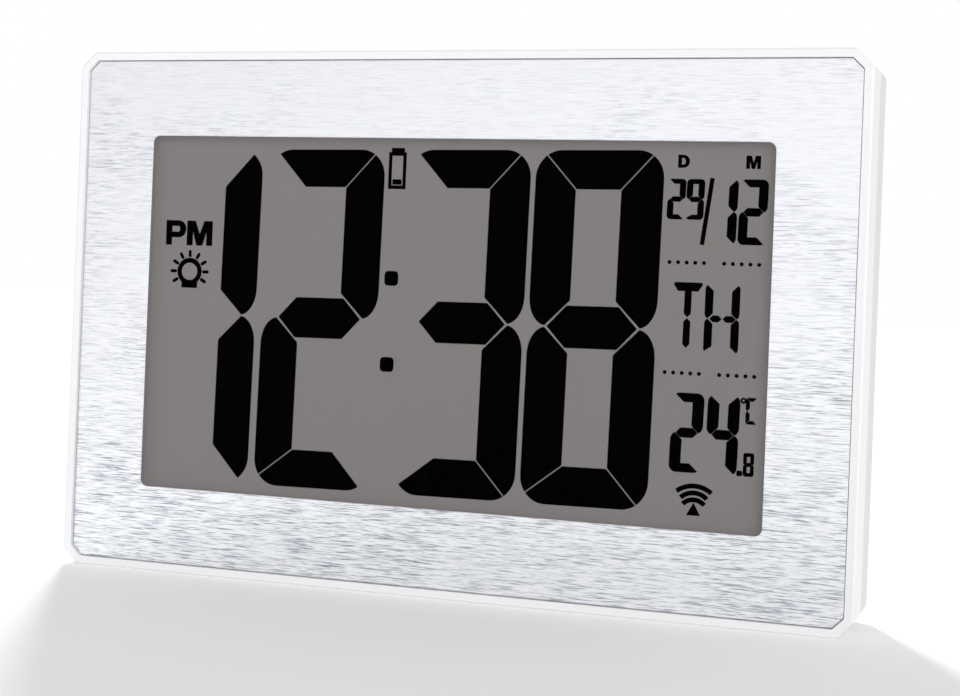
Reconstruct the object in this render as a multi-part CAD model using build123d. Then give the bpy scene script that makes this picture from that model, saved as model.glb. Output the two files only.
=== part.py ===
from build123d import *
from math import cos, hypot, radians, sin, sqrt
import os

# Digital wall clock with a brushed plate round a large display.
# Millimetres. +X to the right seen from the front, +Y to the back, +Z up.
# The origin lies under the middle of the case, on the surface that it stands on.

# Case
case_width = 229.0
case_height = 150.0
case_wall = 2.2
corner_cut = 4.4
corner_round = 1.5
edge_bevel = 0.5
back_bevel = 1.4
frame_depth = 15.0
overrun = 1.0
post_sides = 12
key_sides = 32
lead_sides = 6
round_sides = 24

# Rim, front plate and window
rim_width = 2.4
rim_proud = 1.0
plate_thickness = 0.8
plate_gap = 0.2
plate_bevel = 0.12
window_margin = 21.8
window_round = 2.0
tape_thickness = 0.2
tape_setback = 0.6

# Web of the front frame and the clear lens let into it
web_thickness = 2.0
lens_thickness = 1.0
lens_lap = 5.0
lens_corner = 3.0
lens_clearance = 0.15
web_setback = 2.5

# Display and its back light
gasket_thickness = 0.4
gasket_setback = 2.8
polariser_thickness = 0.2
polariser_lap = 4.2
glass_thickness = 1.1
glass_border = 5.0
contact_ledge = 4.5
guide_thickness = 2.1
reflector_thickness = 0.2
strip_thickness = 0.8
strip_inset = 18.0
led_count = 6
led_width = 3.0
led_height = 1.2
led_margin = 0.2
led_gap = 0.1

# Carrier tray behind the display
carrier_wall = 1.3
carrier_rim = 1.5
carrier_clearance = 0.3
lug_radius = 3.5
lug_hole_radius = 1.5
lug_spread = 35.0
lug_post_radius = 3.2

# Rubber connector and main board
zebra_length_inset = 20.0
zebra_thickness = 2.0
zebra_clearance = 0.3
board_thickness = 1.6
board_standoff = 1.8
board_clearance = 7.75
board_overlap = 5.0
board_side_inset = 7.0
board_hole_inset = 4.0
board_hole_radius = 1.4
board_post_radius = 2.8
chip_radius = 8.0
chip_height = 2.0
chip_drop = 17.0
chip_slope_share = 0.9
crystal_radius = 1.5
crystal_length = 8.0
crystal_x = 18.0
capacitor_radius = 3.15
capacitor_height = 7.7
capacitor_pitch = 9.0
capacitor_gap = 1.5

# Keys at the back and their switches
key_pitch = 11.0
key_row_inset = 24.0
key_row_rise = 7.0
key_cap_radius = 3.6
key_cap_bevel = 0.5
key_recess = 0.3
key_gap = 0.25
key_flange_width = 9.0
key_flange_thickness = 1.2
key_rest_gap = 0.1
key_stem_width = 3.4
key_stem_web = 1.2
key_travel = 0.5
key_free_gap = 0.2
switch_width = 6.0
switch_height = 3.5
plunger_radius = 1.75
plunger_height = 1.5

# Temperature sensor behind its vents
sensor_inset = 9.5
sensor_rise = 5.5
sensor_bead_radius = 1.5
sensor_bead_length = 4.0
sensor_lead_width = 0.5
sensor_lead_pitch = 1.6
sensor_lead_length = 6.5
vent_count = 5
vent_width = 1.6
vent_length = 12.0
vent_pitch = 3.6

# Time-signal receiver on its ferrite rod
rod_radius = 4.0
rod_length = 54.0
rod_rise = 9.0
rod_gap = 0.15
saddle_length = 5.0
saddle_wall = 1.6
saddle_floor = 1.5
saddle_end_inset = 4.0
coil_radius = 5.2
coil_length = 22.0
coil_flange_radius = 5.5
coil_flange_length = 1.2
receiver_width = 26.0
receiver_height = 16.0
receiver_thickness = 1.2
receiver_rise = 22.0
receiver_chip_width = 6.0
receiver_chip_length = 9.0
receiver_chip_height = 1.7
ribbon_width = 3.8
ribbon_thickness = 1.2
ribbon_lift = 4.0
ribbon_bend = 1.8
ribbon_inset = 2.5

# Battery cells, contacts and bay
cell_radius = 7.25
cell_length = 50.5
cell_nub_radius = 2.75
cell_nub_length = 1.2
cell_bevel = 0.6
cell_clearance = 0.4
bay_wall = 1.3
bay_gap = 0.4
contact_thickness = 0.4
contact_width = 11.0
contact_depth = 10.0
contact_touch = 0.05
leaf_bulge = 3.6
leaf_reach = 4.4
leaf_width = 7.0
tab_width = 3.0
tab_length = 5.0
tab_clearance = 0.2
lead_radius = 0.7
lead_bend = 2.2
lead_stub_length = 5.0
lead_pitch = 4.0
lead_inset = 3.5

# Battery door
door_thickness = 2.4
door_gap = 0.3
door_lap = 2.5
door_hinge_lap = 3.5
door_pad = 1.4
door_frame = 3.4
door_corner = 1.5
door_pin_radius = 0.75
door_pin_length = 2.2
latch_width = 12.0
latch_rise = 2.6
latch_thickness = 1.4
latch_slit = 1.0
latch_depth = 8.0
scoop_radius = 9.0
scoop_depth = 1.4

# Fold-out stand
leg_width = 54.0
leg_foot_width = 46.0
leg_thickness = 4.0
leg_skin = 1.5
leg_border = 3.0
leg_rib = 1.5
leg_rib_spread = 18.0
leg_foot_round = 6.0
leg_edge_bevel = 0.6
foot_gap = 1.5
leg_side_gap = 0.4
leg_rest_gap = 0.4
leg_pin_radius = 1.4
leg_pin_length = 2.2
pin_clearance = 0.08
pin_end_gap = 0.3
heel_length = 5.0
heel_width = 22.0
heel_gap = 0.25
stop_gap = 0.05
stand_angle = 36.0
stand_wall = 1.6
stand_side_wall = 3.2
stand_web = 2.5

# Keyhole for a wall screw
keyhole_drop = 24.0
keyhole_radius = 4.5
keyhole_slot = 4.6
keyhole_rise = 9.0
keyhole_depth = 5.0
keyhole_room = 2.0
keyhole_wall = 1.5

# Joint between the shells
groove_width = 0.8
groove_depth = 0.5
tongue_wall = 1.0
tongue_height = 2.0
tongue_root = 1.6
tongue_clearance = 0.15

# Screws
screw_inset = 9.0
boss_radius = 4.2
pilot_depth = 9.0
thread_clearance = 0.05
case_seat = 3.0
case_screw_length = 11.0
case_screw_radius = 1.3
case_head_radius = 2.7
case_head_height = 1.9
head_clearance = 0.3
small_screw_length = 4.2
small_screw_radius = 0.95
small_head_radius = 2.1
small_head_height = 1.5
small_pilot_depth = 2.9
lug_screw_length = 6.0
lug_pilot_depth = 5.0
head_crown_share = 0.5

# Depths, from the stack of pieces between the rim and the back
front_stack = rim_proud + plate_thickness + tape_thickness + web_thickness
display_stack = gasket_thickness + 2 * polariser_thickness + 2 * glass_thickness
light_stack = guide_thickness + reflector_thickness + carrier_wall
bay_stack = bay_gap + bay_wall + cell_clearance + 2 * cell_radius + cell_clearance + door_thickness
case_depth = front_stack + display_stack + light_stack + bay_stack
front_face = -case_depth / 2
back_face = case_depth / 2
plate_front = front_face + rim_proud
plate_back = plate_front + plate_thickness
web_front = plate_back + tape_thickness
web_back = web_front + web_thickness
lens_back = web_front + lens_thickness
gasket_back = web_back + gasket_thickness
cell_front = gasket_back + polariser_thickness
glass_joint = cell_front + glass_thickness
cell_back = glass_joint + glass_thickness
guide_front = cell_back + polariser_thickness
guide_back = guide_front + guide_thickness
carrier_front = guide_back + reflector_thickness
carrier_back = carrier_front + carrier_wall
board_front = carrier_back + board_standoff
board_back = board_front + board_thickness
parting = front_face + frame_depth
cover_inner = back_face - case_wall

# Heights and widths of the display stack
middle = case_height / 2
window_width = case_width - 2 * (rim_width + window_margin)
window_height = case_height - 2 * (rim_width + window_margin)
lens_width = window_width + 2 * lens_lap
lens_height = window_height + 2 * lens_lap
polariser_width = window_width + 2 * polariser_lap
polariser_height = window_height + 2 * polariser_lap
glass_width = window_width + 2 * glass_border
glass_bottom = middle - window_height / 2 - glass_border
glass_top = middle + window_height / 2 + glass_border
ledge_top = glass_top + contact_ledge
ledge_middle = glass_top + contact_ledge / 2
tray_bottom = glass_bottom - carrier_clearance
tray_top = ledge_top + carrier_clearance
tray_width = glass_width + 2 * carrier_clearance
carrier_width = tray_width + 2 * carrier_rim
guide_bottom = glass_bottom + strip_thickness + led_height + led_gap
strip_length = glass_width - 2 * strip_inset
zebra_length = glass_width - 2 * zebra_length_inset
lug_x = carrier_width / 2 + lug_radius
lug_points = [(side * lug_x, middle + rise * lug_spread) for side in (-1, 1) for rise in (-1, 1)]

# Battery bay and door, about the middle of the back
bay_length = cell_length + leaf_bulge + 2 * contact_thickness + 2 * contact_touch
bay_height = 4 * cell_radius + 3 * cell_clearance
bay_floor = back_face - door_thickness - 2 * cell_clearance - 2 * cell_radius
bay_front = bay_floor - bay_wall
cell_y = back_face - door_thickness - cell_clearance - cell_radius
cell_rise = cell_radius + cell_clearance / 2
door_width = bay_length + 2 * door_lap
door_bottom = middle - bay_height / 2 - door_hinge_lap
door_top = middle + bay_height / 2 + door_lap
door_inner = back_face - door_thickness
door_frame_top = door_top + door_gap + door_frame
door_axis_y = back_face - door_thickness / 2
door_axis_z = door_bottom + door_thickness / 2
lead_start = bay_length / 2 + bay_wall + tab_length
lead_turns = [lead_start + lead_stub_length + lead_pitch * index for index in range(2)]

# Places on the main board
board_width = glass_width - 2 * board_side_inset
board_top = ledge_middle + board_overlap
board_bottom = door_frame_top + board_clearance
board_points = [
    (side * (board_width / 2 - board_hole_inset), z)
    for side in (-1, 1)
    for z in (board_bottom + board_hole_inset, ledge_middle - board_hole_inset)
]
key_z = board_bottom + key_row_rise
key_names = ("set_button", "up_button", "down_button", "light_button", "receive_button")
key_x = [key_row_inset + key_pitch * index - board_width / 2 for index in range(len(key_names))]
switch_top = board_back + switch_height + plunger_height
capacitor_x = lead_turns[-1] + lead_radius + capacitor_gap + capacitor_radius
sensor_x = -board_width / 2 + sensor_inset
sensor_z = board_bottom + sensor_rise

# Receiver
rod_x = (glass_width / 2 + leg_width / 2) / 2
rod_y = carrier_back + saddle_floor + rod_gap + coil_flange_radius
rod_z = glass_bottom + rod_rise
receiver_z = rod_z + receiver_rise
receiver_back = carrier_back + receiver_thickness

# Stand
leg_axis_y = back_face - leg_thickness / 2
heel_swing = hypot(heel_length, leg_thickness / 2) + heel_gap
leg_axis_z = door_bottom - door_gap - stand_web - heel_swing
stand_floor = back_face - leg_thickness - leg_rest_gap
stand_width = leg_width + 2 * leg_side_gap
leg_socket_depth = leg_pin_length - leg_side_gap + pin_end_gap
door_socket_depth = door_pin_length - door_gap + pin_end_gap
heel_floor = leg_axis_y - stand_floor - stop_gap
heel_inner = (heel_length * sin(radians(stand_angle)) - heel_floor) / cos(radians(stand_angle))

# Keyhole and case screws
keyhole_z = case_height - keyhole_drop
screw_x = case_width / 2 - screw_inset
case_points = [(side * screw_x, z) for side in (-1, 1) for z in (screw_inset, case_height - screw_inset)]


def slab(outline, y_front, y_back):
    """Carries an outline drawn in X and Z from one depth to another."""
    face = Plane((0, y_back, 0), x_dir=(1, 0, 0), z_dir=(0, -1, 0)) * outline
    return extrude(face, amount=y_back - y_front)


def span(outline, x_from, x_to):
    """Carries an outline drawn in Y and Z from one side to another."""
    face = Plane((x_from, 0, 0), x_dir=(0, 1, 0), z_dir=(1, 0, 0)) * outline
    return extrude(face, amount=x_to - x_from)


def panel(x_from, x_to, z_from, z_to, corner=0):
    """Rectangle in X and Z between two sides and two heights, with rounded corners if asked."""
    width = x_to - x_from
    height = z_to - z_from
    shape = RectangleRounded(width, height, corner) if corner else Rectangle(width, height)
    return Pos((x_from + x_to) / 2, (z_from + z_to) / 2) * shape


def centred(width, height, corner=0):
    """Rectangle in X and Z about the middle of the case."""
    return panel(-width / 2, width / 2, middle - height / 2, middle + height / 2, corner)


def disc(x, z, radius):
    return Pos(x, z) * Circle(radius)


def post(x, z, radius, sides=post_sides):
    """Many-sided stand-in for a small round section that repeats."""
    return Pos(x, z) * RegularPolygon(radius, sides)


def case_outline(inset, rounding=0):
    """Outline of the case with its cut corners, drawn in by an even inset."""
    outline = Rectangle(case_width - 2 * inset, case_height - 2 * inset)
    outline = chamfer(outline.vertices(), corner_cut - (2 - sqrt(2)) * inset)
    if rounding:
        outline = fillet(outline.vertices(), rounding)
    return Pos(0, middle) * outline


def window_outline(setback):
    """The plate's window, widened on every side by a setback."""
    return centred(window_width + 2 * setback, window_height + 2 * setback, window_round + setback)


def screw(x, seat, z, head_radius, head_height, shank_radius, length):
    """Pan-head screw whose head sits on a seat and whose shank runs towards the front."""
    head = slab(post(x, z, head_radius), seat, seat + head_height)
    crown = head.edges().group_by(Axis.Y)[-1]
    head = chamfer(crown, head_height * head_crown_share)
    return head + slab(post(x, z, shank_radius), seat - length, seat)


def wire(points, radius, bend):
    """Thin lead along straight runs joined by arcs."""
    path = FilletPolyline(*points, radius=bend)
    return sweep(Plane(origin=path @ 0, z_dir=path % 0) * RegularPolygon(radius, lead_sides), path=path)


def front_frame():
    """White front shell: a deep rim, a web behind the plate, and posts for the screws."""
    shell = slab(case_outline(0, corner_round), front_face, parting)
    shell = chamfer(shell.edges().group_by(Axis.Y)[0], edge_bevel)
    shell -= slab(case_outline(rim_width), front_face - overrun, web_front)
    shell -= slab(case_outline(case_wall), web_back, parting + overrun)
    lens_bed = centred(lens_width + 2 * lens_clearance, lens_height + 2 * lens_clearance, lens_corner)
    shell -= slab(lens_bed, web_front - overrun, lens_back)
    shell -= slab(window_outline(web_setback), web_front, web_back + overrun)
    for x, z in case_points:
        shell += slab(post(x, z, boss_radius), web_back, parting)
        pilot = post(x, z, case_screw_radius + thread_clearance)
        shell -= slab(pilot, parting - pilot_depth, parting + overrun)
    for x, z in lug_points:
        shell += slab(post(x, z, lug_post_radius), web_back, carrier_front)
        pilot = post(x, z, small_screw_radius + thread_clearance)
        shell -= slab(pilot, carrier_front - lug_pilot_depth, carrier_front + overrun)
    return shell


def front_plate():
    """Brushed sheet with cut corners, a rounded window and lightly broken edges."""
    sheet = slab(case_outline(rim_width + plate_gap) - window_outline(0), plate_front, plate_back)
    return chamfer(sheet.edges().group_by(Axis.Y)[0], plate_bevel)


def plate_tape():
    outline = case_outline(rim_width + plate_gap + tape_setback) - window_outline(tape_setback)
    return slab(outline, plate_back, web_front)


def window_lens():
    return slab(centred(lens_width, lens_height, lens_corner), web_front, lens_back)


def lcd_gasket():
    outline = centred(polariser_width, polariser_height) - window_outline(gasket_setback)
    return slab(outline, web_back, gasket_back)


def polariser(y_front):
    return slab(centred(polariser_width, polariser_height), y_front, y_front + polariser_thickness)


def display_glass(top, y_front):
    outline = panel(-glass_width / 2, glass_width / 2, glass_bottom, top)
    return slab(outline, y_front, y_front + glass_thickness)


def light_sheet(y_front, y_back):
    outline = panel(-glass_width / 2, glass_width / 2, guide_bottom, glass_top)
    return slab(outline, y_front, y_back)


def led_strip():
    outline = panel(-strip_length / 2, strip_length / 2, glass_bottom, glass_bottom + strip_thickness)
    return slab(outline, guide_front, guide_back)


def backlight_leds():
    """Side-firing lamps in a row on the strip, under the edge of the light guide."""
    foot = glass_bottom + strip_thickness
    pitch = strip_length / led_count
    lamps = []
    for index in range(led_count):
        x = pitch * (index - (led_count - 1) / 2)
        body = panel(x - led_width / 2, x + led_width / 2, foot, foot + led_height)
        lamps.append(slab(body, guide_front + led_margin, guide_back - led_margin))
    return Compound(lamps)


def lcd_carrier():
    """Tray that clamps the display to the web, with board posts and saddles for the ferrite rod."""
    outer = panel(-carrier_width / 2, carrier_width / 2, tray_bottom - carrier_rim, tray_top + carrier_rim)
    tray = slab(outer, web_back, carrier_back)
    hollow = panel(-tray_width / 2, tray_width / 2, tray_bottom, tray_top)
    tray -= slab(hollow, web_back - overrun, carrier_front)
    for x, z in lug_points:
        root = panel(min(x, 0), max(x, 0), z - lug_radius, z + lug_radius)
        lug = (post(x, z, lug_radius) + root) - outer
        tray += slab(lug, carrier_front, carrier_back)
        tray -= slab(post(x, z, lug_hole_radius), carrier_front - overrun, carrier_back + overrun)
    for x, z in board_points:
        tray += slab(post(x, z, board_post_radius), carrier_back, board_front)
        pilot = post(x, z, small_screw_radius + thread_clearance)
        tray -= slab(pilot, board_front - small_pilot_depth, board_front + overrun)
    slot_half = zebra_length / 2 + zebra_clearance
    slot_rise = zebra_thickness / 2 + zebra_clearance
    slot = panel(-slot_half, slot_half, ledge_middle - slot_rise, ledge_middle + slot_rise)
    tray -= slab(slot, carrier_front - overrun, carrier_back + overrun)
    saddle_half = rod_radius + rod_gap + saddle_wall
    cradle = panel(-saddle_length / 2, saddle_length / 2, rod_z - saddle_half, rod_z + saddle_half)
    rod_room = Pos(rod_y, rod_z) * Circle(rod_radius + rod_gap)
    mouth_back = rod_y + rod_radius + overrun
    mouth = Pos((rod_y + mouth_back) / 2, rod_z) * Rectangle(mouth_back - rod_y, 2 * (rod_radius + rod_gap))
    for side in (-1, 1):
        x = rod_x + side * (rod_length / 2 - saddle_end_inset - saddle_length / 2)
        tray += slab(Pos(x, 0) * cradle, carrier_back, rod_y + rod_radius / 2)
        tray -= span(rod_room + mouth, x - saddle_length, x + saddle_length)
    return tray


def zebra_strip():
    rise = zebra_thickness / 2
    outline = panel(-zebra_length / 2, zebra_length / 2, ledge_middle - rise, ledge_middle + rise)
    return slab(outline, glass_joint, board_front)


def main_board():
    sheet = panel(-board_width / 2, board_width / 2, board_bottom, board_top)
    for x, z in board_points:
        sheet -= post(x, z, board_hole_radius)
    return slab(sheet, board_front, board_back)


def driver_chip():
    """Low resin dome over the bare driver chip."""
    dome = slab(post(0, board_top - chip_drop, chip_radius), board_back, board_back + chip_height)
    return chamfer(dome.edges().group_by(Axis.Y)[-1], chip_height * chip_slope_share, chip_height)


def clock_crystal():
    can = Pos(board_back + crystal_radius, board_top - chip_drop) * Circle(crystal_radius)
    return span(can, crystal_x, crystal_x + crystal_length)


def filter_capacitors():
    """Two drawn cans that stand on the board."""
    z = board_top - chip_drop
    top = board_back + capacitor_height
    places = [capacitor_x, capacitor_x + capacitor_pitch]
    return Compound([slab(post(x, z, capacitor_radius, round_sides), board_back, top) for x in places])


def tact_switches():
    switch = slab(Rectangle(switch_width, switch_width), board_back, board_back + switch_height)
    switch += slab(post(0, 0, plunger_radius), board_back + switch_height, switch_top)
    return Compound([Pos(x, 0, key_z) * switch for x in key_x])


def key_button(x):
    """Round key: a cap flush with the back, a flange that holds it in, and a ribbed stem to its switch."""
    flange_back = cover_inner - key_rest_gap
    flange_front = flange_back - key_flange_thickness
    cap = slab(post(x, key_z, key_cap_radius, key_sides), flange_front, back_face - key_recess)
    cap = chamfer(cap.edges().group_by(Axis.Y)[-1], key_cap_bevel)
    flange = slab(Pos(x, key_z) * Rectangle(key_flange_width, key_flange_width), flange_front, flange_back)
    bar = Rectangle(key_stem_width, key_stem_web)
    cross = Pos(x, key_z) * (bar + Rot(0, 0, 90) * bar)
    stem = slab(cross, switch_top + key_travel + key_free_gap, flange_front)
    return cap + flange + stem


def temperature_sensor():
    """Bead on two stiff legs that stand up from the board to the vents."""
    bead_front = board_back + sensor_lead_length
    bead = slab(post(sensor_x, sensor_z, sensor_bead_radius), bead_front, bead_front + sensor_bead_length)
    for side in (-1, 1):
        x = sensor_x + side * sensor_lead_pitch / 2
        leg = Pos(x, sensor_z) * Rectangle(sensor_lead_width, sensor_lead_width)
        bead += slab(leg, board_back, bead_front + sensor_bead_length / 2)
    return bead


def ferrite_rod():
    half = rod_length / 2
    return span(Pos(rod_y, rod_z) * Circle(rod_radius), rod_x - half, rod_x + half)


def antenna_coil():
    """Winding on a thin bobbin that slides over the ferrite rod."""
    half = coil_length / 2
    place = Pos(rod_y, rod_z)
    bore = RegularPolygon(rod_radius + rod_gap, round_sides)
    winding = RegularPolygon(coil_radius, round_sides) - bore
    flange = RegularPolygon(coil_flange_radius, round_sides) - bore
    coil = span(place * winding, rod_x - half, rod_x + half)
    for edge in (rod_x - half - coil_flange_length, rod_x + half):
        coil += span(place * flange, edge, edge + coil_flange_length)
    return coil


def receiver_board():
    half_width = receiver_width / 2
    half_height = receiver_height / 2
    outline = panel(
        rod_x - half_width, rod_x + half_width, receiver_z - half_height, receiver_z + half_height
    )
    return slab(outline, carrier_back, receiver_back)


def receiver_chip():
    half_length = receiver_chip_length / 2
    half_width = receiver_chip_width / 2
    left, right = rod_x - half_length, rod_x + half_length
    outline = panel(left, right, receiver_z - half_width, receiver_z + half_width)
    return slab(outline, receiver_back, receiver_back + receiver_chip_height)


def receiver_leads():
    """Flat three-way ribbon from the receiver board up to the main board."""
    low = receiver_z + receiver_height / 2 - ribbon_inset
    high = board_bottom + ribbon_inset
    crest = board_back + ribbon_lift
    rise = [(rod_x, receiver_back, low), (rod_x, crest, low)]
    fall = [(rod_x, crest, high), (rod_x, board_back, high)]
    path = FilletPolyline(*rise, *fall, radius=ribbon_bend)
    start = Plane(origin=path @ 0, x_dir=(1, 0, 0), z_dir=path % 0)
    return sweep(start * Rectangle(ribbon_width, ribbon_thickness), path=path)


def battery_cell(rise, side):
    """Round cell lying along X, with its nub towards the given side."""
    can_length = cell_length - cell_nub_length
    can = Cylinder(cell_radius, can_length, align=(Align.CENTER, Align.CENTER, Align.MIN))
    can = chamfer(can.edges().filter_by(GeomType.CIRCLE), cell_bevel)
    can += Cylinder(cell_nub_radius, cell_length, align=(Align.CENTER, Align.CENTER, Align.MIN))
    tip = side * (bay_length / 2 - contact_thickness - contact_touch)
    return Pos(tip - side * cell_length, cell_y, middle + rise) * Rot(0, 90 * side, 0) * can


def contact_plate(side, low, high):
    """Thin plate against one end wall of the bay."""
    wall = side * bay_length / 2
    face = wall - side * contact_thickness
    outline = panel(min(wall, face), max(wall, face), low, high)
    return slab(outline, cell_y - contact_depth / 2, cell_y + contact_depth / 2)


def contact_leaf(side, rise):
    """Arched leaf that presses on the flat end of a cell."""
    radius = (leaf_reach ** 2 + leaf_bulge ** 2) / (2 * leaf_bulge)
    ring = Circle(radius) - Circle(radius - contact_thickness)
    inside = leaf_bulge - radius
    front_half = Pos(radius, 0) * Rectangle(2 * radius, 4 * radius)
    arch = Pos(inside, 0) * ring & front_half
    arch = extrude(arch, amount=leaf_width)
    root = side * (bay_length / 2 - contact_thickness)
    place = Pos(root, cell_y, middle + rise - leaf_width / 2)
    return place * (mirror(arch, Plane.YZ) if side > 0 else arch)


def contact_tab(side, rise):
    """Solder tab that leaves the bay through a slit in its end wall."""
    start = bay_length / 2 - contact_thickness
    end = bay_length / 2 + bay_wall + tab_length
    outline = panel(
        min(side * start, side * end),
        max(side * start, side * end),
        middle + rise - tab_width / 2,
        middle + rise + tab_width / 2,
    )
    return slab(outline, cell_y - contact_thickness / 2, cell_y + contact_thickness / 2)


def contact_link():
    """Plate that joins the two cells in series at one end of the bay."""
    low = middle - cell_rise - contact_width / 2
    high = middle + cell_rise + contact_width / 2
    return contact_plate(-1, low, high) + contact_leaf(-1, cell_rise)


def contact_plus():
    rise = cell_rise
    plate = contact_plate(1, middle + rise - contact_width / 2, middle + rise + contact_width / 2)
    return plate + contact_tab(1, rise)


def contact_minus():
    rise = -cell_rise
    plate = contact_plate(1, middle + rise - contact_width / 2, middle + rise + contact_width / 2)
    return plate + contact_tab(1, rise) + contact_leaf(1, rise)


def battery_leads():
    """Two leads from the solder tabs up to the main board."""
    top = board_bottom + lead_inset
    leads = []
    for turn, rise in zip(lead_turns, (cell_rise, -cell_rise)):
        low = middle + rise
        points = [(lead_start, cell_y, low), (turn, cell_y, low)]
        points += [(turn, cell_y, top), (turn, board_back, top)]
        leads.append(wire(points, lead_radius, lead_bend))
    return Compound(leads)


def keyhole_outline(room):
    """Round entry with a slot that rises from it, widened by a room for the screw's head."""
    head = disc(0, keyhole_z, keyhole_radius + room)
    half = keyhole_slot / 2 + room
    rise = keyhole_z + keyhole_rise
    return head + panel(-half, half, keyhole_z, rise) + disc(0, rise, half)


def leg_outline(low, grow, high=leg_axis_z):
    """Tapered outline of the stand's leg between two heights, grown sideways."""
    slope = (leg_width - leg_foot_width) / 2 / (leg_axis_z - foot_gap)
    top_half = leg_width / 2 - slope * (leg_axis_z - high) + grow
    low_half = leg_width / 2 - slope * (leg_axis_z - low) + grow
    return Polygon((-top_half, high), (-low_half, low), (low_half, low), (top_half, high), align=None)


def cover_shell():
    """Back shell with its bevelled back edge, joint groove and tongue."""
    shell = slab(case_outline(0, corner_round), parting, back_face)
    shell = chamfer(shell.edges().group_by(Axis.Y)[-1], back_bevel)
    shell -= slab(case_outline(case_wall), parting - overrun, cover_inner)
    groove = case_outline(-overrun) - case_outline(groove_depth)
    shell -= slab(groove, parting - overrun, parting + groove_width)
    tongue_out = case_wall + tongue_clearance
    tongue_in = tongue_out + tongue_wall
    shell += slab(case_outline(tongue_out) - case_outline(tongue_in), parting - tongue_height, parting)
    shell += slab(case_outline(case_wall) - case_outline(tongue_in), parting, parting + tongue_root)
    return shell


def rear_cover():
    """Back shell with the battery bay, stand recess, keyhole, key holes, vents and screw posts."""
    cover = cover_shell()
    # Battery bay and the frame that its door closes on
    bay_outer = centred(bay_length + 2 * bay_wall, bay_height + 2 * bay_wall)
    cover += slab(bay_outer, bay_front, cover_inner)
    frame_half = door_width / 2 + door_gap + door_frame
    low, high = door_bottom - door_gap, door_top + door_gap
    frame = panel(-frame_half, frame_half, low - stand_web, door_frame_top)
    cover += slab(frame, door_inner - door_pad, cover_inner)
    # Thick walls round the stand's recess and the keyhole's pocket
    stand_half = stand_width / 2 + stand_side_wall
    barrel_top = leg_axis_z + leg_thickness / 2 + door_gap
    stand_block = panel(-stand_half, stand_half, case_wall, barrel_top + stand_side_wall)
    cover += slab(stand_block, stand_floor - stand_wall, cover_inner)
    heel_half = heel_width / 2 + leg_side_gap
    heel_block = panel(-heel_half - stand_wall, heel_half + stand_wall, leg_axis_z, door_bottom - door_gap)
    cover += slab(heel_block, stand_floor - stand_wall, cover_inner)
    pocket_front = cover_inner - keyhole_depth
    cover += slab(keyhole_outline(keyhole_room + keyhole_wall), pocket_front - keyhole_wall, cover_inner)
    for x, z in case_points:
        cover += slab(post(x, z, boss_radius), parting, cover_inner)
    # Hollows
    cover -= slab(centred(bay_length, bay_height), bay_floor, back_face + overrun)
    door_half = door_width / 2 + door_gap
    cover -= slab(panel(-door_half, door_half, low, high), door_inner, back_face + overrun)
    latch_half = latch_width / 2 + door_gap
    latch_top = door_top + latch_rise + door_gap
    latch_room = panel(-latch_half, latch_half, door_top, latch_top)
    cover -= slab(latch_room, back_face - latch_thickness - door_gap, back_face + overrun)
    scoop = Pos(back_face + scoop_radius - scoop_depth, latch_top) * Circle(scoop_radius)
    cover -= span(scoop, -latch_width / 2, latch_width / 2)
    stand_room = leg_outline(-overrun, leg_side_gap)
    stand_room += panel(-stand_width / 2, stand_width / 2, leg_axis_z, barrel_top)
    cover -= slab(stand_room, stand_floor, back_face + overrun)
    heel_room = panel(-heel_half, heel_half, leg_axis_z, leg_axis_z + heel_swing)
    cover -= slab(heel_room, stand_floor, back_face + overrun)
    leg_socket = post(leg_axis_y, leg_axis_z, leg_pin_radius + pin_clearance, round_sides)
    leg_reach = stand_width / 2 + leg_socket_depth
    cover -= span(leg_socket, -leg_reach, leg_reach)
    door_socket = post(door_axis_y, door_axis_z, door_pin_radius + pin_clearance, round_sides)
    door_reach = door_half + door_socket_depth
    cover -= span(door_socket, -door_reach, door_reach)
    cover -= slab(keyhole_outline(keyhole_room), pocket_front, cover_inner)
    cover -= slab(keyhole_outline(0), cover_inner - overrun, back_face + overrun)
    for x in key_x:
        hole = post(x, key_z, key_cap_radius + key_gap, key_sides)
        cover -= slab(hole, cover_inner - overrun, back_face + overrun)
    for index in range(vent_count):
        x = sensor_x + vent_pitch * (index - (vent_count - 1) / 2)
        slot = Pos(x, sensor_z) * Rectangle(vent_width, vent_length)
        cover -= slab(slot, cover_inner - overrun, back_face + overrun)
    tab_half = tab_width / 2 + tab_clearance
    tab_deep = contact_thickness / 2 + tab_clearance
    for rise in (cell_rise, -cell_rise):
        slit = panel(bay_length / 2 - overrun, bay_length / 2 + bay_wall + overrun,
                     middle + rise - tab_half, middle + rise + tab_half)
        cover -= slab(slit, cell_y - tab_deep, cell_y + tab_deep)
    for x, z in case_points:
        seat = post(x, z, case_head_radius + head_clearance, round_sides)
        cover -= slab(seat, parting + case_seat, back_face + overrun)
        cover -= slab(post(x, z, case_screw_radius + head_clearance), parting - overrun, back_face)
    return cover


def battery_door():
    """Flush door with a rounded hinge edge, two moulded pins and a springy latch tongue."""
    door = slab(panel(-door_width / 2, door_width / 2, door_axis_z, door_top), door_inner, back_face)
    corners = door.edges().filter_by(Axis.Y).group_by(Axis.Z)[-1]
    door = fillet(corners, door_corner)
    barrel = Pos(door_axis_y, door_axis_z) * Circle(door_thickness / 2)
    door += span(barrel, -door_width / 2, door_width / 2)
    pin = Pos(door_axis_y, door_axis_z) * Circle(door_pin_radius)
    reach = door_width / 2 + door_pin_length
    door += span(pin, -reach, reach)
    tongue = panel(-latch_width / 2, latch_width / 2, door_top - latch_depth, door_top + latch_rise)
    door += slab(tongue, back_face - latch_thickness, back_face)
    for side in (-1, 1):
        edge = side * (latch_width / 2 + latch_slit / 2)
        slit = panel(edge - latch_slit / 2, edge + latch_slit / 2, door_top - latch_depth, door_top + overrun)
        door -= slab(slit, door_inner - overrun, back_face + overrun)
    return door


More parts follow.
